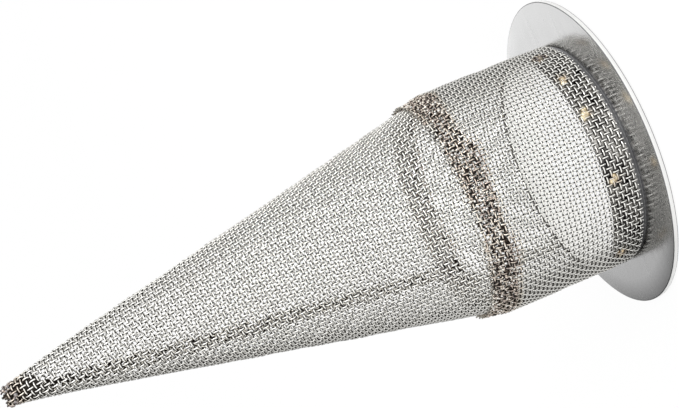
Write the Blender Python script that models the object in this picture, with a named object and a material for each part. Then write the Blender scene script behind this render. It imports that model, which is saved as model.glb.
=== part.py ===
# Conical basket strainer: a flat flange ring, a short collar, a cylindrical skirt of wire
# screen spot welded over the collar, and a long cone of the same screen crimped into the skirt.
# Metres, +Z up. The origin is the centre of the flange's gasket face, and +Z runs to the tip.

import math

import bmesh
import bpy

# Flange ring, bevelled round its bore for the collar's weld, so its flat face clears the skirt
FLANGE_OUTER_DIAMETER = 0.080
FLANGE_THICKNESS = 0.00125
FLANGE_EDGE_CHAMFER = 0.00025
FLANGE_BEVEL_DEPTH = 0.00035
FLANGE_FACE_MARGIN = 0.00012

# Collar sleeve, flush with the gasket face and standing through the flange's bore
COLLAR_OUTER_DIAMETER = 0.0561
COLLAR_WALL = 0.0008
COLLAR_HEIGHT = 0.00935

# Fillet weld where the collar leaves the flange
COLLAR_WELD_LEG = 0.00065

# Screen: open bars that stand for the woven cloth, at the same weight for its area
SCREEN_THICKNESS = 0.0006
SCREEN_BAR_WIDTH = 0.0011
SCREEN_CELLS_AROUND = 32

# Skirt screen: a straight wall over the collar, then a crimp that follows the cone
SKIRT_FOOT_ABOVE_FLANGE = 0.0011
SKIRT_STRAIGHT_LENGTH = 0.03285
SKIRT_CRIMP_HEIGHT = 0.0067
SKIRT_BAR_ABOVE_COLLAR = 0.00085
SKIRT_ROWS_ABOVE_COLLAR = 3

# Cone screen, from its mouth inside the crimp to a small open tip
CONE_HEIGHT = 0.1173
CONE_TIP_RADIUS = 0.0021
CONE_ROW_HEIGHT = 0.0079
CONE_LEAST_CELL_WIDTH = 0.0028
CONE_LEAST_CELLS_AROUND = 8

# Lap seams, where each rolled sheet covers its own edge
LAP_WIDTH = 0.004
SKIRT_LAP_AZIMUTH = math.radians(132.0)
CONE_LAP_AZIMUTH = math.radians(123.0)
CONE_LAP_LEAST_RADIUS = 0.0045

# Weld that closes the tip: a blunt nub with a stem inside the cone
TIP_NUB_HEIGHT = 0.0012
TIP_STEM_LENGTH = 0.003

# Spot welds that hold the skirt to the collar, each in one opening of the skirt's lowest row
SPOT_DIAMETER = 0.003
SPOT_BELOW_COLLAR_EDGE = 0.0019
SPOT_CELLS = (0, 2, 4, 6, 8, 10, 12, 14, 16, 18, 22, 25, 27, 29)

# Clearances between pieces that touch on the real object
SEAT_GAP = 0.0003
WELD_GAP = 0.00015

# Facets
TURNED_SEGMENTS = 64
TIP_SEGMENTS = 24
SPOT_SEGMENTS = 14
LAP_SEGMENTS = 3
LAP_STATIONS = 8
MERGE_DISTANCE = 1e-7
SHARP_ANGLE = math.radians(35.0)

# Sizes that follow from the ones above
FLANGE_RADIUS = FLANGE_OUTER_DIAMETER / 2
COLLAR_RADIUS = COLLAR_OUTER_DIAMETER / 2
SKIRT_OUTER_RADIUS = COLLAR_RADIUS + SEAT_GAP + SCREEN_THICKNESS
FLANGE_BORE_RADIUS = COLLAR_RADIUS + SEAT_GAP
FLANGE_FACE_RADIUS = SKIRT_OUTER_RADIUS + FLANGE_FACE_MARGIN
FLANGE_BEVEL_SLOPE = FLANGE_BEVEL_DEPTH / (FLANGE_FACE_RADIUS - FLANGE_BORE_RADIUS)
SKIRT_FOOT_Z = FLANGE_THICKNESS + SKIRT_FOOT_ABOVE_FLANGE
SKIRT_BEND_Z = SKIRT_FOOT_Z + SKIRT_STRAIGHT_LENGTH
SKIRT_TOP_Z = SKIRT_BEND_Z + SKIRT_CRIMP_HEIGHT
CONE_MOUTH_RADIUS = SKIRT_OUTER_RADIUS - SCREEN_THICKNESS - SEAT_GAP
CONE_TIP_Z = SKIRT_BEND_Z + CONE_HEIGHT
CONE_SLOPE = (CONE_MOUTH_RADIUS - CONE_TIP_RADIUS) / CONE_HEIGHT


def clear_scene():
    for item in list(bpy.data.objects):
        bpy.data.objects.remove(item, do_unlink=True)


def make_material(name, colour, roughness):
    material = bpy.data.materials.new(name)
    material.use_nodes = True
    shader = material.node_tree.nodes["Principled BSDF"]
    shader.inputs["Base Color"].default_value = (*colour, 1.0)
    shader.inputs["Metallic"].default_value = 1.0
    shader.inputs["Roughness"].default_value = roughness
    return material


def add_piece(name, solid, material):
    bmesh.ops.recalc_face_normals(solid, faces=solid.faces)
    mesh = bpy.data.meshes.new(name)
    solid.to_mesh(mesh)
    solid.free()
    mesh.shade_smooth()
    mesh.set_sharp_from_angle(angle=SHARP_ANGLE)
    mesh.materials.append(material)
    piece = bpy.data.objects.new(name, mesh)
    bpy.context.scene.collection.objects.link(piece)
    return piece


def polar(angle, radius, height):
    return (radius * math.cos(angle), radius * math.sin(angle), height)


# Turned pieces

def turn_profile(profile, segments, closed=True):
    solid = bmesh.new()
    points = [solid.verts.new((radius, 0.0, height)) for radius, height in profile]
    edges = [solid.edges.new(ends) for ends in zip(points, points[1:])]
    if closed:
        edges.append(solid.edges.new((points[-1], points[0])))
    bmesh.ops.spin(
        solid,
        geom=points + edges,
        cent=(0.0, 0.0, 0.0),
        axis=(0.0, 0.0, 1.0),
        angle=math.tau,
        steps=segments,
        use_merge=True,
    )
    bmesh.ops.remove_doubles(solid, verts=solid.verts, dist=MERGE_DISTANCE)
    return solid


def build_flange_ring(material):
    edge = FLANGE_RADIUS - FLANGE_EDGE_CHAMFER
    profile = [
        (FLANGE_BORE_RADIUS, 0.0),
        (edge, 0.0),
        (FLANGE_RADIUS, FLANGE_EDGE_CHAMFER),
        (FLANGE_RADIUS, FLANGE_THICKNESS - FLANGE_EDGE_CHAMFER),
        (edge, FLANGE_THICKNESS),
        (FLANGE_FACE_RADIUS, FLANGE_THICKNESS),
        (FLANGE_BORE_RADIUS, FLANGE_THICKNESS - FLANGE_BEVEL_DEPTH),
    ]
    add_piece("flange_ring", turn_profile(profile, TURNED_SEGMENTS), material)


def build_collar_sleeve(material):
    inside = COLLAR_RADIUS - COLLAR_WALL
    profile = [
        (inside, 0.0),
        (COLLAR_RADIUS, 0.0),
        (COLLAR_RADIUS, COLLAR_HEIGHT),
        (inside, COLLAR_HEIGHT),
    ]
    add_piece("collar_sleeve", turn_profile(profile, TURNED_SEGMENTS), material)


def build_collar_weld(material):
    root = COLLAR_RADIUS + WELD_GAP
    foot = FLANGE_THICKNESS + WELD_GAP
    profile = [
        (root, foot - COLLAR_WELD_LEG * FLANGE_BEVEL_SLOPE),
        (root + COLLAR_WELD_LEG, foot),
        (root, foot + COLLAR_WELD_LEG),
    ]
    add_piece("collar_weld", turn_profile(profile, TURNED_SEGMENTS), material)


def build_tip_weld(material):
    seat = CONE_TIP_Z + SEAT_GAP
    shoulder = seat + TIP_NUB_HEIGHT / 2
    crown = seat + TIP_NUB_HEIGHT
    stem = CONE_TIP_RADIUS - SCREEN_THICKNESS - SEAT_GAP
    profile = [
        (0.0, crown),
        (CONE_TIP_RADIUS / 2, crown),
        (CONE_TIP_RADIUS, shoulder),
        (CONE_TIP_RADIUS, seat),
        (stem, seat),
        (stem, seat - TIP_STEM_LENGTH),
        (0.0, seat - TIP_STEM_LENGTH),
    ]
    add_piece("tip_weld", turn_profile(profile, TIP_SEGMENTS, closed=False), material)


# Screens

def cone_radius(height):
    return CONE_MOUTH_RADIUS - CONE_SLOPE * (height - SKIRT_BEND_Z)


def skirt_radius(height):
    return SKIRT_OUTER_RADIUS - CONE_SLOPE * max(height - SKIRT_BEND_Z, 0.0)


# Makes a pair of points, on the screen's outer and inner face
def screen_pair(solid, angle, height, radius_at):
    outside = radius_at(height)
    return (
        solid.verts.new(polar(angle, outside, height)),
        solid.verts.new(polar(angle, outside - SCREEN_THICKNESS, height)),
    )


# Runs along one edge of a cell, from its left bar to its right bar
def cell_edge(solid, ring, cell, share, height, radius_at):
    bar_angle = SCREEN_BAR_WIDTH / 2 / radius_at(height)
    outline = []
    opening = []
    for step in range(share + 1):
        place = cell * share + step
        angle = math.tau * place / len(ring)
        if step == 0:
            angle += bar_angle
        if step == share:
            angle -= bar_angle
        outline.append(ring[place % len(ring)])
        opening.append(screen_pair(solid, angle, height, radius_at))
    return outline, opening


# Frames one opening with bars, which share the outline with the cells next to it
def frame_cell(solid, outline, opening):
    for here in range(len(outline)):
        there = (here + 1) % len(outline)
        for side in (0, 1):
            solid.faces.new((
                outline[here][side],
                outline[there][side],
                opening[there][side],
                opening[here][side],
            ))
        solid.faces.new((*opening[here], *reversed(opening[there])))


# A rolled screen as one body: row_cells holds the number of openings in each row, from the
# bottom up, and heights the edges of those rows
def screen_solid(heights, row_cells, radius_at):
    solid = bmesh.new()
    rings = []
    for below, above, height in zip(row_cells[:1] + row_cells, row_cells + row_cells[-1:], heights):
        count = max(below, above)
        ring = [screen_pair(solid, math.tau * step / count, height, radius_at) for step in range(count)]
        rings.append(ring)

    top_row = len(row_cells) - 1
    for row, count in enumerate(row_cells):
        low = heights[row] + SCREEN_BAR_WIDTH / (1 if row == 0 else 2)
        high = heights[row + 1] - SCREEN_BAR_WIDTH / (1 if row == top_row else 2)
        lower, upper = rings[row], rings[row + 1]
        for cell in range(count):
            outline, opening = cell_edge(solid, lower, cell, len(lower) // count, low, radius_at)
            back, back_opening = cell_edge(solid, upper, cell, len(upper) // count, high, radius_at)
            frame_cell(solid, outline + back[::-1], opening + back_opening[::-1])

    for ring in (rings[0], rings[-1]):
        for here, there in zip(ring, ring[1:] + ring[:1]):
            solid.faces.new((*here, *reversed(there)))
    return solid


def build_skirt_screen(material):
    first_bar = COLLAR_HEIGHT + SKIRT_BAR_ABOVE_COLLAR
    row_height = (SKIRT_BEND_Z - first_bar) / SKIRT_ROWS_ABOVE_COLLAR
    heights = [SKIRT_FOOT_Z]
    heights += [first_bar + row_height * row for row in range(SKIRT_ROWS_ABOVE_COLLAR)]
    heights += [SKIRT_BEND_Z, SKIRT_TOP_Z]
    row_cells = [SCREEN_CELLS_AROUND] * (len(heights) - 1)
    add_piece("skirt_screen", screen_solid(heights, row_cells, skirt_radius), material)


def build_cone_screen(material):
    rows = round(CONE_HEIGHT / CONE_ROW_HEIGHT)
    heights = [SKIRT_BEND_Z + CONE_HEIGHT * row / rows for row in range(rows + 1)]
    count = SCREEN_CELLS_AROUND
    row_cells = []
    for height in heights[1:]:
        narrow = math.tau * cone_radius(height) / count < CONE_LEAST_CELL_WIDTH
        if narrow and count > CONE_LEAST_CELLS_AROUND:
            count //= 2
        row_cells.append(count)
    add_piece("cone_screen", screen_solid(heights, row_cells, cone_radius), material)


# Lap seams

def lap_solid(low, high, azimuth, radius_at):
    solid = bmesh.new()
    sections = []
    for station in range(LAP_STATIONS + 1):
        height = low + (high - low) * station / LAP_STATIONS
        inside = radius_at(height) + SEAT_GAP
        half_angle = LAP_WIDTH / 2 / inside
        turns = [2 * step / LAP_SEGMENTS - 1 for step in range(LAP_SEGMENTS + 1)]
        angles = [azimuth + half_angle * turn for turn in turns]
        section = [polar(angle, inside, height) for angle in angles]
        section += [polar(angle, inside + SCREEN_THICKNESS, height) for angle in angles[::-1]]
        sections.append([solid.verts.new(point) for point in section])
    for lower, upper in zip(sections, sections[1:]):
        for here in range(len(lower)):
            there = (here + 1) % len(lower)
            solid.faces.new((lower[here], lower[there], upper[there], upper[here]))
    solid.faces.new(sections[0])
    solid.faces.new(sections[-1])
    return solid


def build_lap_seams(material):
    skirt_lap = lap_solid(SKIRT_FOOT_Z, SKIRT_BEND_Z, SKIRT_LAP_AZIMUTH, skirt_radius)
    add_piece("skirt_lap_seam", skirt_lap, material)
    top = SKIRT_BEND_Z + (CONE_MOUTH_RADIUS - CONE_LAP_LEAST_RADIUS) / CONE_SLOPE
    cone_lap = lap_solid(SKIRT_TOP_Z + SEAT_GAP, top, CONE_LAP_AZIMUTH, cone_radius)
    add_piece("cone_lap_seam", cone_lap, material)


# Spot welds

def build_spot_welds(material):
    height = COLLAR_HEIGHT - SPOT_BELOW_COLLAR_EDGE
    middle = COLLAR_RADIUS + SEAT_GAP + SCREEN_THICKNESS / 2
    for number, cell in enumerate(SPOT_CELLS, start=1):
        angle = math.tau * (cell + 0.5) / SCREEN_CELLS_AROUND
        solid = bmesh.new()
        bmesh.ops.create_cone(
            solid,
            cap_ends=True,
            segments=SPOT_SEGMENTS,
            radius1=SPOT_DIAMETER / 2,
            radius2=SPOT_DIAMETER / 2,
            depth=SCREEN_THICKNESS,
        )
        spot = add_piece(f"collar_spot_weld_{number:02d}", solid, material)
        spot.location = polar(angle, middle, height)
        spot.rotation_euler = (0.0, math.pi / 2, angle)


clear_scene()
satin_steel = make_material("satin_steel", (0.56, 0.55, 0.55), 0.32)
bright_wire = make_material("bright_wire", (0.66, 0.65, 0.63), 0.25)
heat_tinted_steel = make_material("heat_tinted_steel", (0.52, 0.40, 0.27), 0.38)
build_flange_ring(satin_steel)
build_collar_sleeve(satin_steel)
build_collar_weld(heat_tinted_steel)
build_skirt_screen(bright_wire)
build_cone_screen(bright_wire)
build_lap_seams(heat_tinted_steel)
build_tip_weld(heat_tinted_steel)
build_spot_welds(heat_tinted_steel)
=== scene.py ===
import math

import bmesh
import bpy
import numpy as np
from mathutils import Matrix, Vector


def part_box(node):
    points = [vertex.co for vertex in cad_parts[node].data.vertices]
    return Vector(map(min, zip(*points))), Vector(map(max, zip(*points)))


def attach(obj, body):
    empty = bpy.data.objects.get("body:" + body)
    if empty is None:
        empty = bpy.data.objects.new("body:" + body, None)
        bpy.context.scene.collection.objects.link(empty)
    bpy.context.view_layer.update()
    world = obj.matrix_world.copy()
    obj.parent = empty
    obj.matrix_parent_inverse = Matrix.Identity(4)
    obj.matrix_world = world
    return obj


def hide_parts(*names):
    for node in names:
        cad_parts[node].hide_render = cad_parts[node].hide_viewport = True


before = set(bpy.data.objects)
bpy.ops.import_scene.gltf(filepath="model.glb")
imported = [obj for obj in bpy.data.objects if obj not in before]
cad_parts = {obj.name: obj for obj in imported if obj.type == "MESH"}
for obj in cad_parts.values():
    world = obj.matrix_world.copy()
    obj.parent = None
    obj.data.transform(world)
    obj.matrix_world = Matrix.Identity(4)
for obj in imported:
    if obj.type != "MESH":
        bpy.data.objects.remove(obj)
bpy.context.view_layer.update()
rng = np.random.default_rng(20)

# sizes read off the solids, in metres
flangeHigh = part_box("flange_ring")[1]
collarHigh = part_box("collar_sleeve")[1]
skirtLow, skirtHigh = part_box("skirt_screen")
coneLow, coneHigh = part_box("cone_screen")
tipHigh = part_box("tip_weld")[1]
flangeRadius, flangeTop = flangeHigh.x, flangeHigh.z
collarRadius, collarTop = collarHigh.x, collarHigh.z
bendHeight = coneLow.z  # the skirt turns in here, and the cone's mouth sits here
tipRadius = tipHigh.x
spotNodes = sorted(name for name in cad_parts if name.startswith("collar_spot_weld"))
spotSpots = [(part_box(name)[0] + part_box(name)[1]) / 2 for name in spotNodes]

# the woven wire cloth that skirt and cone are cut from
cloth = {
    "pitch": 0.00127,  # 20 wires to the inch
    "wire": 0.0004,
    "sides": 6,
    "nesting": 0.85,  # how far two crossed layers sink into each other
    "jitter": 0.00003,  # wires wander this far from true
}
clothThickness = 2 * cloth["wire"]
weaveHeight = 0.62 * cloth["wire"]  # the wave is read a quarter pitch off its crest

# the rolled shapes, both given at the middle of the cloth
skirtRadius = skirtHigh.x - clothThickness / 2
layerStep = clothThickness * cloth["nesting"]
coneMouth = skirtRadius - layerStep
coneSlope = (coneMouth - tipRadius) / (coneHigh.z - bendHeight)
coneAngle = math.atan(coneSlope)
apexHeight = bendHeight + coneMouth / coneSlope
lap = {"width": 0.004, "ramp": 0.002, "lift": 0.9 * clothThickness, "tipGap": 0.0035, "mouthGap": 0.0003}


def seamOf(node):
    low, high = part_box(node)
    return math.atan2(low.y + high.y, low.x + high.x)


coneSeam = seamOf("cone_lap_seam")
skirtSeam = seamOf("skirt_lap_seam")


def link(item):
    bpy.context.scene.collection.objects.link(item)
    return item


def smoothStep(value):
    value = np.clip(value, 0, 1)
    return value * value * (3 - 2 * value)


def polar(azimuth, radius, height):
    return np.stack([radius * np.cos(azimuth), radius * np.sin(azimuth), height], axis=-1)


def finishPiece(piece, slot, *nodes):
    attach(piece, "root")
    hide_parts(*nodes)
    return piece


# node tree helpers

def connect(tree, socket, value):
    if isinstance(value, bpy.types.NodeSocket):
        tree.links.new(value, socket)
    else:
        socket.default_value = value


def addNode(tree, kind, inputs=None, **settings):
    node = tree.nodes.new(kind)
    for name, value in settings.items():
        setattr(node, name, value)
    for name, value in (inputs or {}).items():
        connect(tree, node.inputs[name], value)
    return node


def calc(tree, operation, *values):
    node = addNode(tree, "ShaderNodeMath", operation=operation)
    for socket, value in zip(node.inputs, values):
        connect(tree, socket, value)
    return node.outputs[0]


def mixColour(tree, factor, first, second, blend="MIX"):
    node = addNode(tree, "ShaderNodeMix", data_type="RGBA", blend_type=blend)
    connect(tree, node.inputs[0], factor)
    connect(tree, node.inputs[6], first)  # by place, since the sockets' names repeat for each type
    connect(tree, node.inputs[7], second)
    return node.outputs[2]


def mixNumber(tree, factor, first, second):
    node = addNode(tree, "ShaderNodeMix", data_type="FLOAT")
    connect(tree, node.inputs[0], factor)
    connect(tree, node.inputs[2], first)
    connect(tree, node.inputs[3], second)
    return node.outputs[0]


# heat tint: 0 is bare steel, then straw, tan, brown and nearly black

heatLook = {
    "seamLow": bendHeight - 0.0012, "seamHigh": skirtHigh.z + 0.0003, "seam": 0.50,
    "uneven": 0.06, "stray": 0.0006,  # how the seam's tint comes and goes, and how its edge wanders
    "coneShare": 0.2,  # the share of the seam's tint that reaches the cone's wires
    "spots": {"collar_spot_weld_14": 0.95, "collar_spot_weld_12": 0.32, "collar_spot_weld_10": 0.45},
    "spot": 0.40, "spotReach": 0.0024,
    "tip": 0.46, "tipLength": 0.0075,
    "lap": 0.18, "lapReach": 0.003,
}


def wander(azimuth, height, waves, seed):
    wave = np.random.default_rng(seed)
    total = np.zeros_like(azimuth)
    for _ in range(waves):
        turns = wave.integers(1, 3 * waves)
        total += np.sin(turns * azimuth + wave.uniform(0, 900) * height + wave.uniform(0, 6.3))
    return total / math.sqrt(waves)


tipLean = {"shift": 0.0008, "length": 0.022}  # the closed end droops to -X


def leanTip(mesh):
    points = np.empty(len(mesh.vertices) * 3, np.float32)
    mesh.vertices.foreach_get("co", points)
    rise = (points[2::3] - tipHigh.z + tipLean["length"]) / tipLean["length"]
    points[0::3] -= tipLean["shift"] * np.clip(rise, 0, 1) ** 2
    mesh.vertices.foreach_set("co", points)


def heatAt(points, seamShare):
    x, y, z = points[:, 0], points[:, 1], points[:, 2]
    azimuth = np.arctan2(y, x)
    uneven = wander(azimuth, z, 6, 3)
    middle = (heatLook["seamLow"] + heatLook["seamHigh"]) / 2
    half = (heatLook["seamHigh"] - heatLook["seamLow"]) / 2
    across = np.abs(z - middle + heatLook["stray"] * uneven) / half
    strength = heatLook["seam"] + heatLook["uneven"] * uneven
    heat = seamShare * strength * smoothStep((1.25 - across) / 0.75)
    for name, spot in zip(spotNodes, spotSpots):
        away = np.linalg.norm(points - np.array(spot), axis=1) / heatLook["spotReach"]
        strength = heatLook["spots"].get(name, heatLook["spot"])
        heat = np.maximum(heat, strength * smoothStep((1 - away) / 0.6))
    tipShare = (z - tipHigh.z) / heatLook["tipLength"] + 1
    heat = np.maximum(heat, heatLook["tip"] * smoothStep(tipShare / 0.5 + 0.2 * uneven))
    seam = np.where(z > bendHeight, coneSeam, skirtSeam)
    seamAway = np.abs((azimuth - seam + math.pi) % math.tau - math.pi) * np.hypot(x, y)
    lapHeat = heatLook["lap"] * np.where(z > bendHeight, 1.0, 0.4 * (z > collarTop))
    heat = np.maximum(heat, lapHeat * smoothStep((1 - seamAway / heatLook["lapReach"]) / 0.6))
    return np.clip(heat, 0, 1)


def bakeHeat(mesh, seamShare=1.0):
    if "scorch" in mesh.attributes:
        return
    points = np.empty(len(mesh.vertices) * 3, np.float32)
    mesh.vertices.foreach_get("co", points)
    attribute = mesh.attributes.new("scorch", "FLOAT", "POINT")
    attribute.data.foreach_set("value", heatAt(points.reshape(-1, 3), seamShare).astype(np.float32))


# masks for the painted shade on the wires: inside marks faces turned to the axis, under marks where a wire
# dips beneath its crossing wire as seen from its own side
def bakeShadeMasks(mesh):
    count = len(mesh.vertices)
    points = np.empty(count * 3, np.float32)
    normals = np.empty(count * 3, np.float32)
    weave = np.empty(count, np.float32)
    mesh.vertices.foreach_get("co", points)
    mesh.vertex_normals.foreach_get("vector", normals)
    mesh.attributes["weave"].data.foreach_get("value", weave)
    points, normals = points.reshape(-1, 3), normals.reshape(-1, 3)
    away = np.maximum(np.hypot(points[:, 0], points[:, 1]), 1e-6)
    facing = (points[:, 0] * normals[:, 0] + points[:, 1] * normals[:, 1]) / away
    inside = smoothStep(0.5 - 0.9 * facing)
    under = weave * (2 * inside - 1)
    mesh.attributes.new("inside", "FLOAT", "POINT").data.foreach_set("value", inside.astype(np.float32))
    mesh.attributes.new("under", "FLOAT", "POINT").data.foreach_set("value", under.astype(np.float32))


# shader groups

def newGroup(name, inputs, outputs):
    tree = bpy.data.node_groups.new(name, "ShaderNodeTree")
    for socketName, kind, value in inputs:
        socket = tree.interface.new_socket(socketName, in_out="INPUT", socket_type=kind)
        socket.default_value = value
    for socketName, kind in outputs:
        tree.interface.new_socket(socketName, in_out="OUTPUT", socket_type=kind)
    return tree, tree.nodes.new("NodeGroupInput"), tree.nodes.new("NodeGroupOutput")


def makeHeatTint():
    tree, given, result = newGroup(
        "heatTint",
        [("Steel", "NodeSocketColor", (0.6, 0.6, 0.6, 1)), ("Heat", "NodeSocketFloat", 0.0)],
        [("Colour", "NodeSocketColor")],
    )
    place = addNode(tree, "ShaderNodeTexCoord")
    noise = addNode(tree, "ShaderNodeTexNoise", {
        "Vector": place.outputs["Object"], "Scale": 1800.0, "Detail": 2.0,
    })
    spread = calc(tree, "MULTIPLY_ADD", noise.outputs[0], 2.6, -0.3)
    warmth = calc(tree, "MULTIPLY", given.outputs["Heat"], spread)
    ramp = addNode(tree, "ShaderNodeValToRGB", {"Fac": warmth})
    stops = [
        (0.00, (1.00, 1.00, 1.00)),
        (0.22, (0.97, 0.94, 0.89)),
        (0.40, (0.82, 0.74, 0.66)),
        (0.55, (0.57, 0.49, 0.45)),
        (0.70, (0.42, 0.36, 0.34)),
        (0.88, (0.32, 0.31, 0.32)),
    ]
    while len(ramp.color_ramp.elements) < len(stops):
        ramp.color_ramp.elements.new(0.5)
    for element, (stop, colour) in zip(ramp.color_ramp.elements, stops):
        element.position = stop
        element.color = (*colour, 1)
    tinted = mixColour(tree, 1.0, given.outputs["Steel"], ramp.outputs["Color"], "MULTIPLY")
    tree.links.new(tinted, result.inputs["Colour"])
    return tree


def makeGrain():
    tree, given, result = newGroup(
        "metalGrain",
        [
            ("Stretch", "NodeSocketVector", (1, 1, 1)),
            ("Scale", "NodeSocketFloat", 2000.0),
            ("Mottle", "NodeSocketFloat", 120.0),
            ("Spread", "NodeSocketFloat", 0.5),
            ("Low", "NodeSocketFloat", 0.2),
            ("High", "NodeSocketFloat", 0.3),
        ],
        [("Rough", "NodeSocketFloat"), ("Height", "NodeSocketFloat"), ("Mottle Share", "NodeSocketFloat")],
    )
    place = addNode(tree, "ShaderNodeTexCoord")
    turn = addNode(tree, "ShaderNodeMapping", {
        "Vector": place.outputs["Object"], "Scale": given.outputs["Stretch"],
    })
    fine = addNode(tree, "ShaderNodeTexNoise", {
        "Vector": turn.outputs[0], "Scale": given.outputs["Scale"], "Detail": 3.0,
    })
    broad = addNode(tree, "ShaderNodeTexNoise", {
        "Vector": place.outputs["Object"], "Scale": given.outputs["Mottle"], "Detail": 4.0,
    })
    both = calc(tree, "MULTIPLY_ADD", broad.outputs[0], 0.5, calc(tree, "MULTIPLY", fine.outputs[0], 0.5))
    rough = addNode(tree, "ShaderNodeMapRange", {"Value": both, "From Min": 0.3, "From Max": 0.7})
    tree.links.new(given.outputs["Low"], rough.inputs["To Min"])
    tree.links.new(given.outputs["High"], rough.inputs["To Max"])
    tree.links.new(rough.outputs[0], result.inputs["Rough"])
    tree.links.new(fine.outputs[0], result.inputs["Height"])
    # a broad mottle that mixes each steel's dark and light tone; on the collar and weld steels the dark tone
    # is painted shade
    mottleShare = addNode(tree, "ShaderNodeMapRange", {
        "Value": broad.outputs[0], "From Min": calc(tree, "SUBTRACT", 0.5, given.outputs["Spread"]),
        "From Max": calc(tree, "ADD", 0.5, given.outputs["Spread"]),
    })
    tree.links.new(mottleShare.outputs[0], result.inputs["Mottle Share"])
    return tree


# painted shade on the wires: the under-wire near each crossing is darkened as a painted contact shadow, and
# the wire's flanks are darkened as painted dark outlines; Fade weakens this painted shade on faces turned to
# the axis
def makePaintedWireShade():
    tree, given, result = newGroup(
        "paintedWireShade",
        [
            ("Steel", "NodeSocketColor", (0.6, 0.6, 0.6, 1)),
            ("Inside", "NodeSocketFloat", 0.0),
            ("Under", "NodeSocketFloat", 0.0),
            ("Fade", "NodeSocketFloat", 0.0),
            ("Contact Shade", "NodeSocketFloat", 0.0),
            ("Crown", "NodeSocketFloat", 1.0),
            ("Flank Shade", "NodeSocketFloat", 0.0),
        ],
        [("Colour", "NodeSocketColor")],
    )
    near = addNode(tree, "ShaderNodeMapRange", {
        "Value": given.outputs["Under"],
        "From Min": 0.0, "From Max": 0.40, "To Max": given.outputs["Contact Shade"],
    })
    side = addNode(tree, "ShaderNodeMapRange", {
        "Value": calc(tree, "ABSOLUTE", given.outputs["Crown"]),
        "From Min": 0.80, "From Max": 0.45, "To Max": given.outputs["Flank Shade"],
    })
    share = calc(tree, "MAXIMUM", near.outputs[0], side.outputs[0])
    faded = calc(tree, "MULTIPLY", given.outputs["Inside"], given.outputs["Fade"])
    share = calc(tree, "MULTIPLY", share, calc(tree, "SUBTRACT", 1.0, faded))
    # the near-black colour of the painted shade
    shaded = mixColour(tree, share, given.outputs["Steel"], (0.015, 0.015, 0.015, 1))
    tree.links.new(shaded, result.inputs["Colour"])
    return tree


heatTint = makeHeatTint()
metalGrain = makeGrain()
paintedWireShade = makePaintedWireShade()


def makeSteel(name, look):
    material = bpy.data.materials.new(name)
    material.use_nodes = True
    tree = material.node_tree
    shader = tree.nodes["Principled BSDF"]
    shader.inputs["Metallic"].default_value = 1
    grain = addNode(tree, "ShaderNodeGroup", node_tree=metalGrain)
    for socket in ("Stretch", "Scale", "Mottle", "Spread", "Low", "High"):
        if socket.lower() in look:
            grain.inputs[socket].default_value = look[socket.lower()]
    steel = mixColour(tree, grain.outputs["Mottle Share"], (*look["dark"], 1), (*look["light"], 1))
    heat = addNode(tree, "ShaderNodeAttribute", attribute_name="scorch")
    tint = addNode(tree, "ShaderNodeGroup", node_tree=heatTint)
    tree.links.new(steel, tint.inputs["Steel"])
    tree.links.new(heat.outputs["Fac"], tint.inputs["Heat"])
    colour = tint.outputs["Colour"]
    # painted shade on the wires: a contact shadow at the crossings and dark flanks as outlines, mixed into
    # the base colour
    if "flankShade" in look:
        shade = addNode(tree, "ShaderNodeGroup", node_tree=paintedWireShade)
        shade.inputs["Fade"].default_value = look["fade"]
        shade.inputs["Contact Shade"].default_value = look["contactShade"]
        shade.inputs["Flank Shade"].default_value = look["flankShade"]
        outward = addNode(tree, "ShaderNodeAttribute", attribute_name="outward")
        surface = addNode(tree, "ShaderNodeNewGeometry")
        crown = addNode(tree, "ShaderNodeVectorMath", operation="DOT_PRODUCT")
        tree.links.new(surface.outputs["Normal"], crown.inputs[0])
        tree.links.new(outward.outputs["Vector"], crown.inputs[1])
        tree.links.new(crown.outputs["Value"], shade.inputs["Crown"])
        tree.links.new(colour, shade.inputs["Steel"])
        for mask in ("inside", "under"):
            attribute = addNode(tree, "ShaderNodeAttribute", attribute_name=mask)
            tree.links.new(attribute.outputs["Fac"], shade.inputs[mask.capitalize()])
        colour = shade.outputs["Colour"]
    tree.links.new(colour, shader.inputs["Base Color"])
    shader.inputs["Specular Tint"].default_value = (*[look.get("edge", 1.0)] * 3, 1)
    tree.links.new(grain.outputs["Rough"], shader.inputs["Roughness"])
    bump = addNode(tree, "ShaderNodeBump", {
        "Height": grain.outputs["Height"], "Strength": look["bump"], "Distance": 0.00002,
    })
    tree.links.new(bump.outputs[0], shader.inputs["Normal"])
    return material


# fade, contact and flank set the painted shade on the wires: contact shadow at the crossings and dark
# outlines on the flanks
wireSteel = makeSteel("wireSteel", {
    "dark": (0.91, 0.895, 0.85), "light": (0.99, 0.98, 0.94),
    "scale": 1500.0, "low": 0.10, "high": 0.22, "bump": 0.10,
    "fade": 0.6, "contactShade": 1.0, "flankShade": 0.62, "edge": 0.1,
})
flangeSteel = makeSteel("flangeSteel", {
    "dark": (0.50, 0.50, 0.50), "light": (0.60, 0.60, 0.60), "stretch": (0.15, 3.0, 1.0),
    "scale": 300.0, "low": 0.17, "high": 0.31, "bump": 0.0,
})
# the flange's cut rim: rough as its finish, and painted paler than the face as painted light
rimSteel = makeSteel("rimSteel", {
    "dark": (0.80, 0.80, 0.79), "light": (0.92, 0.92, 0.91), "stretch": (1.0, 1.0, 9.0),
    "scale": 1600.0, "low": 0.45, "high": 0.65, "bump": 0.4,
})
# the collar's outside under the cloth, painted near black to mottled grey as the shade it lies in behind the
# cloth
collarShadeSteel = makeSteel("collarShadeSteel", {
    "dark": (0.005, 0.005, 0.005), "light": (0.58, 0.56, 0.53), "stretch": (1.0, 1.0, 12.0),
    "mottle": 350.0, "spread": 0.16, "scale": 700.0, "low": 0.16, "high": 0.34, "bump": 0.15,
})
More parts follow.
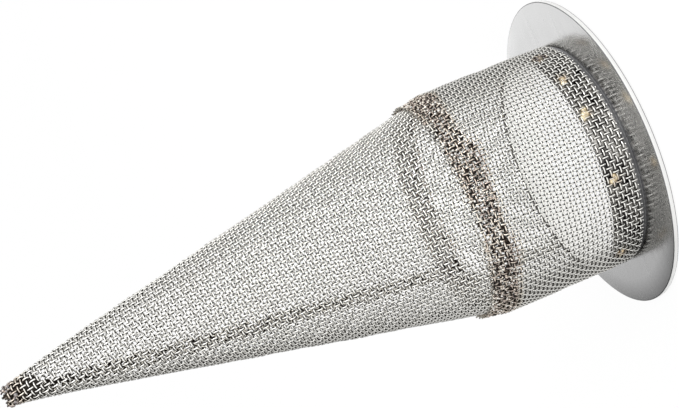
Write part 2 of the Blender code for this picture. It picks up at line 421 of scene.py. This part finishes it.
# a dark copy of the steel, painted shade: the collar strip under the cloth's foot, the fillet bead, and the
# flange's rounded edges either side of its rim
paintedShadeSteel = makeSteel("paintedShadeSteel", {
    "dark": (0.14, 0.14, 0.145), "light": (0.25, 0.25, 0.255), "stretch": (1.0, 1.0, 12.0),
    "scale": 700.0, "low": 0.40, "high": 0.55, "bump": 0.1,
})
# a near-white copy of the steel, painted light: the collar's bore and the faces of the fused lumps turned to
# the axis
paintedLightSteel = makeSteel("paintedLightSteel", {
    "dark": (0.92, 0.91, 0.89), "light": (0.98, 0.98, 0.96), "stretch": (1.0, 1.0, 12.0),
    "scale": 700.0, "low": 0.16, "high": 0.30, "bump": 0.1,
})
# fused metal, near black: partly heat oxide, and partly painted shade filling the gaps behind the cloth at
# the seam, mouth, laps and tip, and drawing the collar's top edge as a shadow line
weldOxideAndShadeSteel = makeSteel("weldOxideAndShadeSteel", {
    "dark": (0.003, 0.003, 0.003), "light": (0.15, 0.13, 0.115), "mottle": 900.0,
    "scale": 1800.0, "low": 0.40, "high": 0.60, "bump": 0.5,
})
fusedSteel = makeSteel("fusedSteel", {
    "dark": (0.62, 0.60, 0.58), "light": (0.99, 0.98, 0.96), "mottle": 1400.0,
    "scale": 2400.0, "low": 0.16, "high": 0.34, "bump": 0.6,
})
spotSteel = makeSteel("spotSteel", {
    "dark": (0.74, 0.65, 0.44), "light": (0.95, 0.88, 0.70),
    "scale": 1400.0, "low": 0.25, "high": 0.45, "bump": 0.6,
})
print("materials ready")


# woven wires: lines on the rolled cloth, waved along its normal and swept to round wire

def makeWireTree():
    tree = bpy.data.node_groups.new("wovenWires", "GeometryNodeTree")
    tree.interface.new_socket("Geometry", in_out="INPUT", socket_type="NodeSocketGeometry")
    for name, value in (("Wire Diameter", cloth["wire"]), ("Weave Height", weaveHeight)):
        socket = tree.interface.new_socket(name, in_out="INPUT", socket_type="NodeSocketFloat")
        socket.default_value = value
    socket = tree.interface.new_socket("Sides", in_out="INPUT", socket_type="NodeSocketInt")
    socket.default_value = cloth["sides"]
    tree.interface.new_socket("Material", in_out="INPUT", socket_type="NodeSocketMaterial")
    tree.interface.new_socket("Geometry", in_out="OUTPUT", socket_type="NodeSocketGeometry")
    given = tree.nodes.new("NodeGroupInput")
    result = tree.nodes.new("NodeGroupOutput")
    outward = addNode(tree, "GeometryNodeInputNamedAttribute", {"Name": "outward"},
                      data_type="FLOAT_VECTOR")
    weave = addNode(tree, "GeometryNodeInputNamedAttribute", {"Name": "weave"}, data_type="FLOAT")
    rise = calc(tree, "MULTIPLY", weave.outputs[0], given.outputs["Weave Height"])
    shift = addNode(tree, "ShaderNodeVectorMath", operation="SCALE")
    tree.links.new(outward.outputs[0], shift.inputs[0])
    tree.links.new(rise, shift.inputs["Scale"])
    waved = addNode(tree, "GeometryNodeSetPosition", {
        "Geometry": given.outputs["Geometry"], "Offset": shift.outputs[0],
    })
    strands = addNode(tree, "GeometryNodeMeshToCurve", {"Mesh": waved.outputs[0]})
    radius = calc(tree, "MULTIPLY", given.outputs["Wire Diameter"], 0.5)
    section = addNode(tree, "GeometryNodeCurvePrimitiveCircle", {
        "Radius": radius, "Resolution": given.outputs["Sides"],
    })
    swept = addNode(tree, "GeometryNodeCurveToMesh", {
        "Curve": strands.outputs[0], "Profile Curve": section.outputs[0], "Fill Caps": True,
    })
    smooth = addNode(tree, "GeometryNodeSetShadeSmooth", {"Geometry": swept.outputs[0]})
    whole = addNode(tree, "GeometryNodeRealizeInstances", {"Geometry": smooth.outputs[0]})
    coated = addNode(tree, "GeometryNodeSetMaterial", {
        "Geometry": whole.outputs[0], "Material": given.outputs["Material"],
    })
    tree.links.new(coated.outputs[0], result.inputs[0])
    return tree


wovenWires = makeWireTree()


def inputSockets(tree):
    return {item.name: item.identifier for item in tree.interface.items_tree if item.in_out == "INPUT"}


def sweepWires(name, lines, material, seamShare=1.0):
    points = np.concatenate([line[0] for line in lines])
    outward = np.concatenate([line[1] for line in lines])
    weave = np.concatenate([line[2] for line in lines])
    ends = np.cumsum([len(line[0]) for line in lines])
    starts = np.arange(len(points) - 1)
    edges = np.stack([starts, starts + 1], axis=1)
    edges = np.delete(edges, ends[:-1] - 1, axis=0)
    mesh = bpy.data.meshes.new(name)
    mesh.from_pydata(points.tolist(), edges.tolist(), [])
    mesh.attributes.new("outward", "FLOAT_VECTOR", "POINT").data.foreach_set("vector", outward.ravel())
    mesh.attributes.new("weave", "FLOAT", "POINT").data.foreach_set("value", weave)
    piece = link(bpy.data.objects.new(name, mesh))
    modifier = piece.modifiers.new("wovenWires", "NODES")
    modifier.node_group = wovenWires
    sockets = inputSockets(wovenWires)
    modifier[sockets["Wire Diameter"]] = cloth["wire"]
    modifier[sockets["Weave Height"]] = weaveHeight
    modifier[sockets["Sides"]] = cloth["sides"]
    modifier[sockets["Material"]] = material
    made = bpy.data.meshes.new_from_object(piece.evaluated_get(bpy.context.evaluated_depsgraph_get()))
    made.name = name
    piece.modifiers.clear()
    piece.data = made
    bakeHeat(made, seamShare)
    bakeShadeMasks(made)
    leanTip(made)
    print(name, len(made.polygons), "faces")
    return piece


def stretchMarks(low, high):
    step = cloth["pitch"] / 2
    first = math.ceil((low - step / 2) / step)
    marks = (np.arange(first, math.floor((high - step / 2) / step) + 1) + 0.5) * step
    marks = marks[(marks > low + step / 4) & (marks < high - step / 4)]
    return np.concatenate([[low], marks, [high]])


def crossing(x, y):
    return np.cos(math.pi * x / cloth["pitch"]) * np.cos(math.pi * y / cloth["pitch"])


def layLine(fixed, low, high, along, roll):
    marks = stretchMarks(low, high)
    same = np.full_like(marks, fixed)
    x, y = (marks, same) if along == "x" else (same, marks)
    weave = crossing(x, y) * (1 if along == "x" else -1)
    offset = cloth["jitter"] * rng.normal()
    stray = offset + cloth["jitter"] * np.sin(marks * rng.uniform(60, 160) + rng.uniform(0, 6))
    if along == "x":
        y = y + stray
    else:
        x = x + stray
    place, outward = roll(x, y)
    return place, outward, weave


# the cone: a flat sector with its apex at zero, cut even-handed about one wire and rolled up

coneLook = {"endCut": 0.0011, "dent": 0.00010, "fairing": 0.01}
sectorHalf = math.pi * math.sin(coneAngle)
slantMouth = coneMouth / math.sin(coneAngle)
slantTip = (apexHeight - tipHigh.z + coneLook["endCut"]) / math.cos(coneAngle)


def rollCone(x, y):
    slant = np.hypot(x, y)
    turn = np.arctan2(y, x)
    azimuth = coneSeam + math.pi + turn / math.sin(coneAngle)
    overEdge = slant * np.sin(turn - sectorHalf)
    lift = lap["lift"] * smoothStep((overEdge + lap["width"] / 2 + lap["ramp"]) / lap["ramp"])
    radius = slant * math.sin(coneAngle)
    height = apexHeight - slant * math.cos(coneAngle)
    dent = coneLook["dent"] * wander(azimuth, height, 5, 7) * smoothStep(radius / coneLook["fairing"])
    lift = lift + dent * smoothStep((height - skirtHigh.z) / coneLook["fairing"])
    level = np.ones_like(radius)
    outward = polar(azimuth, level * math.cos(coneAngle), level * math.sin(coneAngle))
    return polar(azimuth, radius, height) + outward * lift[:, None], outward


def clipSpan(spans, low, high):
    clipped = [(max(low, a), min(high, b)) for a, b in spans]
    return [(a, b) for a, b in clipped if b - a > cloth["pitch"] / 2]


def coneLines(along):
    lines = []
    pitch = cloth["pitch"]
    reach = slantMouth * (math.sin(sectorHalf) if along == "x" else 1)
    count = int(reach / pitch)
    numbers = range(-count, count + 1) if along == "x" else range(1, count + 1)
    for number in numbers:
        fixed = number * pitch
        far = math.sqrt(max(slantMouth**2 - fixed**2, 0))
        near = math.sqrt(max(slantTip**2 - fixed**2, 0))
        if along == "x":
            spans = clipSpan([(max(near, abs(fixed) / math.tan(sectorHalf)), far)], 0, slantMouth)
        else:
            edge = min(fixed * math.tan(sectorHalf), far)
            spans = clipSpan([(-edge, -near), (near, edge)] if near else [(-edge, edge)], -edge, edge)
        lines += [layLine(fixed, low, high, along, rollCone) for low, high in spans]
    return lines


def lapSpan(fixed, along, low, high, side):
    corners = [(low, 0), (high, 0), (high, lap["width"] / 2), (low, lap["width"] / 2)]
    cosine, sine = math.cos(sectorHalf), math.sin(sectorHalf)
    corners = [(a * cosine - b * sine, side * (a * sine + b * cosine)) for a, b in corners]
    if along == "y":
        corners = [(b, a) for a, b in corners]
    cuts = []
    for (x0, y0), (x1, y1) in zip(corners, corners[1:] + corners[:1]):
        if (y0 - fixed) * (y1 - fixed) < 0:
            cuts.append(x0 + (fixed - y0) / (y1 - y0) * (x1 - x0))
    return sorted(cuts)


def coneLapLines(along):
    lines = []
    low = (tipRadius + lap["tipGap"]) / math.sin(coneAngle)
    high = (apexHeight - skirtHigh.z - lap["mouthGap"]) / math.cos(coneAngle)
    count = int(slantMouth / cloth["pitch"]) + 4
    for number in range(-count, count):
        for side in (1, -1):
            cuts = lapSpan(number * cloth["pitch"], along, low, high, side)
            if len(cuts) == 2 and cuts[1] - cuts[0] > cloth["pitch"] / 2:
                lines.append(layLine(number * cloth["pitch"], *cuts, along, rollCone))
    return lines


# the skirt: a flat strip, x round the collar and y up the wall, bent in over the cone's mouth

skirtLook = {"drop": 0.00035, "dent": 0.00008, "flare": 0.00035, "flareLength": 0.0025, "bend": 0.0012}
girth = math.tau * skirtRadius
skirtFoot = skirtLow.z - skirtLook["drop"]  # the cloth hangs a little below its solid
footLine = 0.4 * cloth["pitch"]  # the cut edge, short of the first round wire
bendLine = footLine + bendHeight - skirtFoot
skirtEnd = bendLine + (skirtHigh.z - bendHeight) / math.cos(coneAngle)


def rollSkirt(x, y):
    azimuth = skirtSeam + x / skirtRadius
    past = np.maximum(y - bendLine, 0)
    lift = lap["lift"] * smoothStep((x - girth + lap["width"] / 2 + lap["ramp"]) / lap["ramp"])
    lift = lift + skirtLook["dent"] * wander(azimuth, y, 5, 11)
    flareLength = skirtLook["flareLength"]
    lift = lift + skirtLook["flare"] * smoothStep((y - skirtEnd + flareLength) / flareLength)
    radius = skirtRadius - past * math.sin(coneAngle)
    height = skirtFoot - footLine + np.minimum(y, bendLine) + past * math.cos(coneAngle)
    bent = smoothStep((y - bendLine) / skirtLook["bend"] + 0.5) * coneAngle
    outward = polar(azimuth, np.cos(bent), np.sin(bent))
    return polar(azimuth, radius, height) + outward * lift[:, None], outward


def skirtLines(along, low, high):
    lines = []
    pitch = cloth["pitch"]
    if along == "x":
        for number in range(1, int(skirtEnd / pitch) + 1):
            lines.append(layLine(number * pitch, low, high, along, rollSkirt))
    else:
        for number in range(math.ceil(low / pitch), int(high / pitch) + 1):
            lines.append(layLine(number * pitch, footLine, skirtEnd, along, rollSkirt))
    return lines


coneWarp = sweepWires("cone_warp_wires", coneLines("x"), wireSteel, heatLook["coneShare"])
coneWeft = sweepWires("cone_weft_wires", coneLines("y"), wireSteel, heatLook["coneShare"])
coneLap = sweepWires("cone_lap_wires", coneLapLines("x") + coneLapLines("y"), wireSteel)
skirtWarp = sweepWires("skirt_warp_wires", skirtLines("y", 0, girth), wireSteel)
skirtWeft = sweepWires("skirt_weft_wires", skirtLines("x", 0, girth), wireSteel)
lapHalf = lap["width"] / 2
skirtLapLines = skirtLines("x", girth, girth + lapHalf) + skirtLines("x", -lapHalf, 0)
skirtLapLines += skirtLines("y", girth + cloth["pitch"] / 2, girth + lapHalf)
skirtLapLines += skirtLines("y", -lapHalf, -cloth["pitch"] / 2)
skirtLap = sweepWires("skirt_lap_wires", skirtLapLines, wireSteel)
finishPiece(coneWarp, "wire_cloth", "cone_screen")
finishPiece(coneWeft, "wire_cloth", "cone_screen")
finishPiece(coneLap, "lap_cloth", "cone_lap_seam")
finishPiece(skirtWarp, "wire_cloth", "skirt_screen")
finishPiece(skirtWeft, "wire_cloth", "skirt_screen")
finishPiece(skirtLap, "lap_cloth", "skirt_lap_seam")
print("cloth woven")


# turned pieces

def turnPiece(name, profile, segments, materials, spans=None, ripple=None):
    angles = np.arange(segments) * math.tau / segments
    rings = np.array(profile)
    radius = np.repeat(rings[:, 0][None], segments, axis=0)
    height = np.repeat(rings[:, 1][None], segments, axis=0)
    if ripple:
        radius, height = ripple(angles[:, None], radius, height)
    points = polar(np.repeat(angles[:, None], len(profile), axis=1), radius, height).reshape(-1, 3)
    count = len(profile)
    faces = []
    slots = []
    for turn in range(segments):
        after = (turn + 1) % segments
        for step in range(count):
            above = (step + 1) % count
            slots.append((spans or {}).get(step, 0))
            faces.append([ring * count + place for ring, place in
                          ((turn, step), (after, step), (after, above), (turn, above))])
    mesh = bpy.data.meshes.new(name)
    mesh.from_pydata(points.tolist(), [], faces)
    mesh.polygons.foreach_set("material_index", slots)
    solid = bmesh.new()
    solid.from_mesh(mesh)
    bmesh.ops.recalc_face_normals(solid, faces=solid.faces)
    solid.to_mesh(mesh)
    solid.free()
    mesh.shade_smooth()
    mesh.set_sharp_from_angle(angle=math.radians(40))
    for material in materials:
        mesh.materials.append(material)
    bakeHeat(mesh)
    leanTip(mesh)
    return link(bpy.data.objects.new(name, mesh))


def roundCorner(centre, radius, start, steps=4):
    turns = [math.radians(start + 90 * step / steps) for step in range(steps + 1)]
    return [(centre[0] + radius * math.cos(turn), centre[1] + radius * math.sin(turn)) for turn in turns]


flangeLook = {"edge": 0.00022, "segments": 256, "bore": collarRadius + 0.0002}  # bore clears the collar
edge = flangeLook["edge"]
flangeProfile = [(flangeLook["bore"], 0), ((flangeLook["bore"] + flangeRadius) / 2, 0)]
flangeProfile += roundCorner((flangeRadius - edge, edge), edge, -90)
flangeProfile += roundCorner((flangeRadius - edge, flangeTop - edge), edge, 0)
flangeProfile += [((flangeLook["bore"] + flangeRadius) / 2, flangeTop), (flangeLook["bore"], flangeTop)]
# a bright cut rim, rough as its finish and partly painted light, between two broken (rounded) edges painted
# dark as a shadow line
flangeSpans = {3: 2, 4: 2, 5: 2, 6: 1, 7: 1, 8: 2, 9: 2, 10: 2}
flange = turnPiece("flange_plate", flangeProfile, flangeLook["segments"],
                   [flangeSteel, rimSteel, paintedShadeSteel], flangeSpans)
finishPiece(flange, "flange_steel", "flange_ring")

collarLook = {"wall": 0.0008, "edge": 0.0002, "segments": 256}
inside = collarRadius - collarLook["wall"]
collarProfile = [(inside, 0), (collarRadius, 0), (collarRadius, skirtFoot)]
edge = collarLook["edge"]
collarProfile += roundCorner((collarRadius - edge, collarTop - edge), edge, 0)
collarProfile += roundCorner((inside + edge, collarTop - edge), edge, 90)
# the strip below the cloth painted dark as shade, the top edge painted dark as a shadow line, and the bore
# painted bright as light
collarSpans = {1: 1, 7: 3, 8: 3, 9: 3, 10: 3, 11: 3, 12: 2}
collar = turnPiece("collar_band", collarProfile, collarLook["segments"],
                   [collarShadeSteel, paintedShadeSteel, paintedLightSteel, weldOxideAndShadeSteel], collarSpans)
finishPiece(collar, "collar_steel", "collar_sleeve")

beadLook = {"leg": 0.0004, "sink": 0.00005, "segments": 420, "ripples": 130, "height": 0.00003}


def beadRipple(angles, radius, height):
    wave = beadLook["height"] * np.sin(beadLook["ripples"] * angles + 2 * np.sin(7 * angles))
    out = (radius > collarRadius + beadLook["leg"] * 0.2) & (height > flangeTop + beadLook["leg"] * 0.1)
    return radius + out * wave, height + out * wave


leg = beadLook["leg"]
root = collarRadius - beadLook["sink"]
foot = flangeTop - beadLook["sink"]
beadProfile = [(root, foot), (collarRadius + leg, foot)]
for share in (0.8, 0.6, 0.4, 0.2):
    beadProfile.append((collarRadius + leg * share, flangeTop + leg * (1 - share) * 0.85))
beadProfile.append((root, flangeTop + leg))
bead = turnPiece("collar_fillet_bead", beadProfile, beadLook["segments"], [paintedShadeSteel], ripple=beadRipple)
finishPiece(bead, "weld_steel", "collar_weld")

# the tip: fused nub, and cut wire ends that stand out of it

tipLook = {
    "segments": 48, "rings": 14, "fill": 0.0085, "sunk": 0.0009, "under": 0.0006, "least": 0.00002,
    "ripples": [(0.12, 5, 1800, 0), (0.10, 9, -2600, 2)], "wave": 0.00012,  # depth, turns, climb, phase
    "ends": 13, "steps": 6, "starts": (0.002, 0.003), "stops": (0.00025, 0.0009),  # below the top
    "draw": (0.55, 0.95), "flare": 0.00035, "twist": 0.25, "stray": 0.08,
}
nubProfile = []
for share in np.linspace(0, 1, tipLook["rings"]):
    height = tipHigh.z - tipLook["sunk"] - tipLook["fill"] * (1 - share)
    full = (apexHeight - height) * coneSlope - tipLook["under"]
    nubProfile.append((max(full * math.sqrt(math.sin(math.pi * share)), tipLook["least"]), height))


def nubRipple(angles, radius, height):
    lump = 1
    for depth, turns, climb, phase in tipLook["ripples"]:
        lump = lump + depth * np.sin(turns * angles + climb * height + phase)
    return radius * lump, height + tipLook["wave"] * np.sin(4 * angles + 2)


nub = turnPiece("tip_nub", nubProfile, tipLook["segments"], [weldOxideAndShadeSteel], ripple=nubRipple)
finishPiece(nub, "weld_steel", "tip_weld")


def tipEnds():
    lines = []
    along = np.linspace(0, 1, tipLook["steps"])
    for number in range(tipLook["ends"]):
        azimuth = number * math.tau / tipLook["ends"] + rng.normal() * tipLook["stray"]
        start = tipHigh.z - rng.uniform(*tipLook["starts"])
        finish = tipHigh.z - rng.uniform(*tipLook["stops"])
        heights = np.linspace(start, finish, tipLook["steps"])
        base = (apexHeight - start) * coneSlope
        flare = rng.normal(0, tipLook["flare"])
        radii = base * np.linspace(1, rng.uniform(*tipLook["draw"]), tipLook["steps"]) + flare * along ** 2
        twist = azimuth + rng.normal(0, tipLook["twist"]) * along
        place = polar(twist, np.maximum(radii, cloth["wire"] * 0.75), heights)
        lines.append((place, np.zeros_like(place), np.zeros(tipLook["steps"])))
    return lines


ends = sweepWires("tip_wire_ends", tipEnds(), weldOxideAndShadeSteel)
finishPiece(ends, "weld_steel", "tip_weld")

# fused metal as low lenses: spot welds on the collar, lumps at the seam, mouth, tip and laps

lensSizes = (0.75, 1.3)  # least and greatest, as a share of the size each look gives
spotLook = {"radius": 0.0009, "height": 0.0006, "lumps": 5, "spread": 0.0006, "stretch": 1.4}
lumpLook = {
    "radius": 0.00032, "height": 0.0003,
    "bright": 600, "brightHeat": 0.5, "dark": 340, "darkHeat": 1.0,
    "edge": 0.0005, "rise": (-0.1, 0.6),  # rise in wire diameters
}
seamLook = {"radius": 0.0005, "height": 0.0002, "count": 420, "edge": 0.0008, "heat": 0.95}
mouthLook = {"radius": 0.0006, "height": 0.0002, "count": 190, "edge": 0.0002, "reach": 0.0025, "heat": 0.9}
endLook = {"radius": 0.00045, "height": 0.00035, "count": 22, "edge": 0.0009, "reach": 0.0036, "heat": 0.85}
lapLook = {
    "radius": 0.0005, "height": 0.0002, "count": 420, "crowd": 1.6,  # closer together towards the tip
    "tipGap": 0.0008, "stray": 0.0018, "skirt": 3, "skirtStep": 0.002, "heat": 0.8,
}


def makeSpotTree():
    tree = bpy.data.node_groups.new("spotWelds", "GeometryNodeTree")
    tree.interface.new_socket("Geometry", in_out="INPUT", socket_type="NodeSocketGeometry")
    for name, value in (("Spot Radius", spotLook["radius"]), ("Spot Height", spotLook["height"])):
        socket = tree.interface.new_socket(name, in_out="INPUT", socket_type="NodeSocketFloat")
        socket.default_value = value
    tree.interface.new_socket("Material", in_out="INPUT", socket_type="NodeSocketMaterial")
    tree.interface.new_socket("Geometry", in_out="OUTPUT", socket_type="NodeSocketGeometry")
    given = tree.nodes.new("NodeGroupInput")
    result = tree.nodes.new("NodeGroupOutput")
    facing = addNode(tree, "GeometryNodeInputNamedAttribute", {"Name": "outward"},
                     data_type="FLOAT_VECTOR")
    turn = addNode(tree, "FunctionNodeAlignRotationToVector", {"Vector": facing.outputs[0]}, axis="Z")
    own = addNode(tree, "GeometryNodeInputNamedAttribute", {"Name": "size"}, data_type="FLOAT")
    lens = addNode(tree, "GeometryNodeMeshUVSphere", {"Segments": 8, "Rings": 5, "Radius": 1.0})
    size = addNode(tree, "ShaderNodeCombineXYZ", {
        "X": given.outputs["Spot Radius"], "Y": given.outputs["Spot Radius"],
        "Z": given.outputs["Spot Height"],
    })
    scaled = addNode(tree, "ShaderNodeVectorMath", {"Scale": own.outputs[0]}, operation="SCALE")
    tree.links.new(size.outputs[0], scaled.inputs[0])
    placed = addNode(tree, "GeometryNodeInstanceOnPoints", {
        "Points": given.outputs["Geometry"], "Instance": lens.outputs[0],
        "Rotation": turn.outputs[0], "Scale": scaled.outputs[0],
    })
    whole = addNode(tree, "GeometryNodeRealizeInstances", {"Geometry": placed.outputs[0]})
    smooth = addNode(tree, "GeometryNodeSetShadeSmooth", {"Geometry": whole.outputs[0]})
    coated = addNode(tree, "GeometryNodeSetMaterial", {
        "Geometry": smooth.outputs[0], "Material": given.outputs["Material"],
    })
    tree.links.new(coated.outputs[0], result.inputs[0])
    return tree


spotTree = makeSpotTree()


def fuseSpots(name, places, facings, look, materials, heat=None):
    mesh = bpy.data.meshes.new(name)
    mesh.from_pydata(np.array(places).tolist(), [], [])
    outward = mesh.attributes.new("outward", "FLOAT_VECTOR", "POINT")
    outward.data.foreach_set("vector", np.array(facings).ravel())
    sizes = rng.uniform(*lensSizes, len(places))
    mesh.attributes.new("size", "FLOAT", "POINT").data.foreach_set("value", sizes)
    if heat is not None:
        mesh.attributes.new("scorch", "FLOAT", "POINT").data.foreach_set("value", heat)
    piece = link(bpy.data.objects.new(name, mesh))
    modifier = piece.modifiers.new("spotWelds", "NODES")
    modifier.node_group = spotTree
    sockets = inputSockets(spotTree)
    modifier[sockets["Spot Radius"]] = look["radius"]
    modifier[sockets["Spot Height"]] = look["height"]
    modifier[sockets["Material"]] = materials[0]
    made = bpy.data.meshes.new_from_object(piece.evaluated_get(bpy.context.evaluated_depsgraph_get()))
    made.name = name
    piece.modifiers.clear()
    piece.data = made
    bakeHeat(made)
    # where a second material is given, faces turned to the axis take it: a painted light copy on the inner
    # side of the fused lumps, the outer side keeping the look's own material
    inward = [face.normal.xy.dot(face.center.xy) < 0 for face in made.polygons]
    made.materials.clear()
    for material in materials:
        made.materials.append(material)
    made.polygons.foreach_set("material_index", np.array(inward, np.int32) * (len(materials) - 1))
    leanTip(made)
    return piece


def collarSpots():
    places = []
    facings = []
    for spot in spotSpots:
        for _ in range(spotLook["lumps"]):
            along, up = rng.normal(0, spotLook["spread"], 2)
            azimuth = math.atan2(spot.y, spot.x) + spotLook["stretch"] * along / collarRadius
            places.append(polar(azimuth, collarRadius, spot.z + up))
            facings.append(polar(azimuth, 1.0, 0.0))
    return fuseSpots("collar_spots", places, facings, spotLook, [spotSteel])


def seamLumps(name, count, heat, material):
    flatX = (np.arange(count) + rng.uniform(-0.5, 0.5, count)) * girth / count
    flatY = rng.uniform(bendLine, skirtEnd - lumpLook["edge"], count)
    places, facings = rollSkirt(flatX, flatY)
    places = places + facings * rng.uniform(*lumpLook["rise"], count)[:, None] * cloth["wire"]
    return fuseSpots(name, places, facings, lumpLook, [material, paintedLightSteel], rng.uniform(0, heat, count))


def coneSpots(name, look, low, high, materials):
    count = look["count"]
    turns = (np.arange(count) + rng.uniform(-0.4, 0.4, count)) * math.tau / count
    height = rng.uniform(low, high, count)
    radius = (apexHeight - height) * coneSlope + layerStep / 2
    facings = polar(turns, np.full(count, math.cos(coneAngle)), np.full(count, math.sin(coneAngle)))
    heat = np.full(count, look["heat"])
    return fuseSpots(name, polar(turns, radius, height), facings, look, materials, heat)


def lapSpots():
    flatY = footLine + collarTop - skirtFoot + lapLook["skirtStep"] * (np.arange(lapLook["skirt"]) + 0.3)
    skirtPlaces, skirtFacings = rollSkirt(np.full_like(flatY, girth), flatY)
    slantLow = (tipRadius + lapLook["tipGap"]) / math.sin(coneAngle)
    slants = slantLow + (slantMouth - slantLow) * np.linspace(0, 1, lapLook["count"]) ** lapLook["crowd"]
    turns = sectorHalf + rng.uniform(-1, 1, len(slants)) * lapLook["stray"] / slants
    conePlaces, coneFacings = rollCone(slants * np.cos(turns), slants * np.sin(turns))
    facings = np.concatenate([skirtFacings, coneFacings])
    places = np.concatenate([skirtPlaces, conePlaces]) - facings * lap["lift"] / 2
    heat = np.full(len(places), lapLook["heat"])
    return fuseSpots("lap_spots", places, facings, lapLook, [weldOxideAndShadeSteel], heat)


finishPiece(collarSpots(), "spot_steel", *spotNodes)
endLow = tipHigh.z - endLook["reach"]
tipSpots = coneSpots("tip_lumps", endLook, endLow, tipHigh.z - endLook["edge"], [fusedSteel])
finishPiece(tipSpots, "weld_steel", "tip_weld")
# the mouth, seam and lap lenses are near black partly as weld oxide and partly as painted shade in the gaps
# behind the cloth
mouthTop = bendHeight + mouthLook["reach"]
mouthSpots = coneSpots("mouth_spots", mouthLook, bendHeight + mouthLook["edge"], mouthTop, [weldOxideAndShadeSteel])
seamTop = skirtHigh.z - seamLook["edge"]
seamSpots = coneSpots("seam_spots", seamLook, mouthTop, seamTop, [weldOxideAndShadeSteel, paintedLightSteel])
brightLumps = seamLumps("bright_lumps", lumpLook["bright"], lumpLook["brightHeat"], fusedSteel)
darkLumps = seamLumps("dark_lumps", lumpLook["dark"], lumpLook["darkHeat"], weldOxideAndShadeSteel)
for piece in (brightLumps, darkLumps, mouthSpots, seamSpots):
    finishPiece(piece, "weld_steel", "skirt_screen", "cone_screen")
finishPiece(lapSpots(), "weld_steel", "skirt_lap_seam", "cone_lap_seam")
print("turned pieces and welds ready")


# floor, world, lamp and camera

# soft lights as lobes of the world: from where, from what cosine to what cosine, how strong
studio = {
    "lobes": [
        ((0.4, -0.85, 0.2), -0.45, 0.0, 1.28),
        ((0.35, 0.87, 0.33), 0.79, 0.985, 1.24),
        ((0.0, 1.0, -0.05), 0.955, 0.985, 0.98),
    ],
    "dim": 0.03,
    "backdrop": 1.0,
    "floorSize": 6,
    "floorDrop": 0.0003,
    "floorShade": 0.96,
    "floorGlow": 0.9,
}


keyLamp = {"place": (0.45, -0.70, 0.55), "aim": (0, 0, 0.07), "size": (0.35, 0.35), "power": 2.0}


def makeFloor():
    mesh = bpy.data.meshes.new("floor")
    reach, depth = studio["floorSize"], -studio["floorDrop"]
    corners = [(-reach, -reach, depth), (reach, -reach, depth), (reach, reach, depth), (-reach, reach, depth)]
    mesh.from_pydata(corners, [], [(0, 1, 2, 3)])
    floor = link(bpy.data.objects.new("floor", mesh))
    material = bpy.data.materials.new("paleFloor")
    material.use_nodes = True
    tree = material.node_tree
    shader = tree.nodes["Principled BSDF"]
    shader.inputs["Base Color"].default_value = (*[studio["floorShade"]] * 3, 1)
    shader.inputs["Roughness"].default_value = 0.9
    glow = addNode(tree, "ShaderNodeEmission", {"Color": (1, 1, 1, 1), "Strength": 1.0})
    path = addNode(tree, "ShaderNodeLightPath")
    seen = calc(tree, "MULTIPLY", path.outputs["Is Camera Ray"], studio["floorGlow"])
    seen = calc(tree, "MAXIMUM", seen, path.outputs["Is Glossy Ray"])
    seen = calc(tree, "MAXIMUM", seen, path.outputs["Is Transmission Ray"])
    mix = addNode(tree, "ShaderNodeMixShader", {"Fac": seen})
    tree.links.new(shader.outputs[0], mix.inputs[1])
    tree.links.new(glow.outputs[0], mix.inputs[2])
    tree.links.new(mix.outputs[0], tree.nodes["Material Output"].inputs["Surface"])
    mesh.materials.append(material)


def makeWorld():
    world = bpy.data.worlds.new("studio")
    bpy.context.scene.world = world
    world.use_nodes = True
    tree = world.node_tree
    background = tree.nodes["Background"]
    path = addNode(tree, "ShaderNodeLightPath")
    place = addNode(tree, "ShaderNodeTexCoord")
    total = studio["dim"]
    for source, darkAt, brightAt, strength in studio["lobes"]:
        facing = addNode(tree, "ShaderNodeVectorMath", {0: place.outputs["Generated"]},
                         operation="DOT_PRODUCT")
        facing.inputs[1].default_value = Vector(source).normalized()
        lobe = addNode(tree, "ShaderNodeMapRange", {
            "Value": facing.outputs["Value"],
            "From Min": darkAt, "From Max": brightAt, "To Max": strength,
        }, interpolation_type="SMOOTHSTEP")
        total = calc(tree, "ADD", lobe.outputs[0], total)
    tree.links.new(mixNumber(tree, path.outputs["Is Camera Ray"], total, studio["backdrop"]),
                   background.inputs["Strength"])
    background.inputs["Color"].default_value = (1, 1, 1, 1)


def addLamp(name, place, aim, size, power):
    data = bpy.data.lights.new(name, "AREA")
    data.shape = "RECTANGLE"
    data.size, data.size_y = size
    data.energy = power
    lamp = link(bpy.data.objects.new(name, data))
    lamp.location = place
    lamp.rotation_euler = (Vector(aim) - Vector(place)).to_track_quat("-Z", "Y").to_euler()
    return lamp


def makeCamera():
    shot = {
        "place": (0.00067, -0.30635, 0.12126), "aim": (0.01144, 0.0, 0.06375),
        "roll": -112.194, "lens": 68.177,
    }
    data = bpy.data.cameras.new("camera")
    data.sensor_width = 36
    data.lens = shot["lens"]
    data.clip_start = 0.01
    camera = link(bpy.data.objects.new("camera", data))
    look = (Vector(shot["aim"]) - Vector(shot["place"])).to_track_quat("-Z", "Y").to_matrix().to_4x4()
    roll = Matrix.Rotation(math.radians(shot["roll"]), 4, "Z")
    camera.matrix_world = Matrix.Translation(shot["place"]) @ look @ roll
    bpy.context.scene.camera = camera


makeFloor()
makeWorld()
addLamp("keyLamp", **keyLamp)
makeCamera()
bpy.context.scene.view_settings.view_transform = "Standard"

print("scene ready")
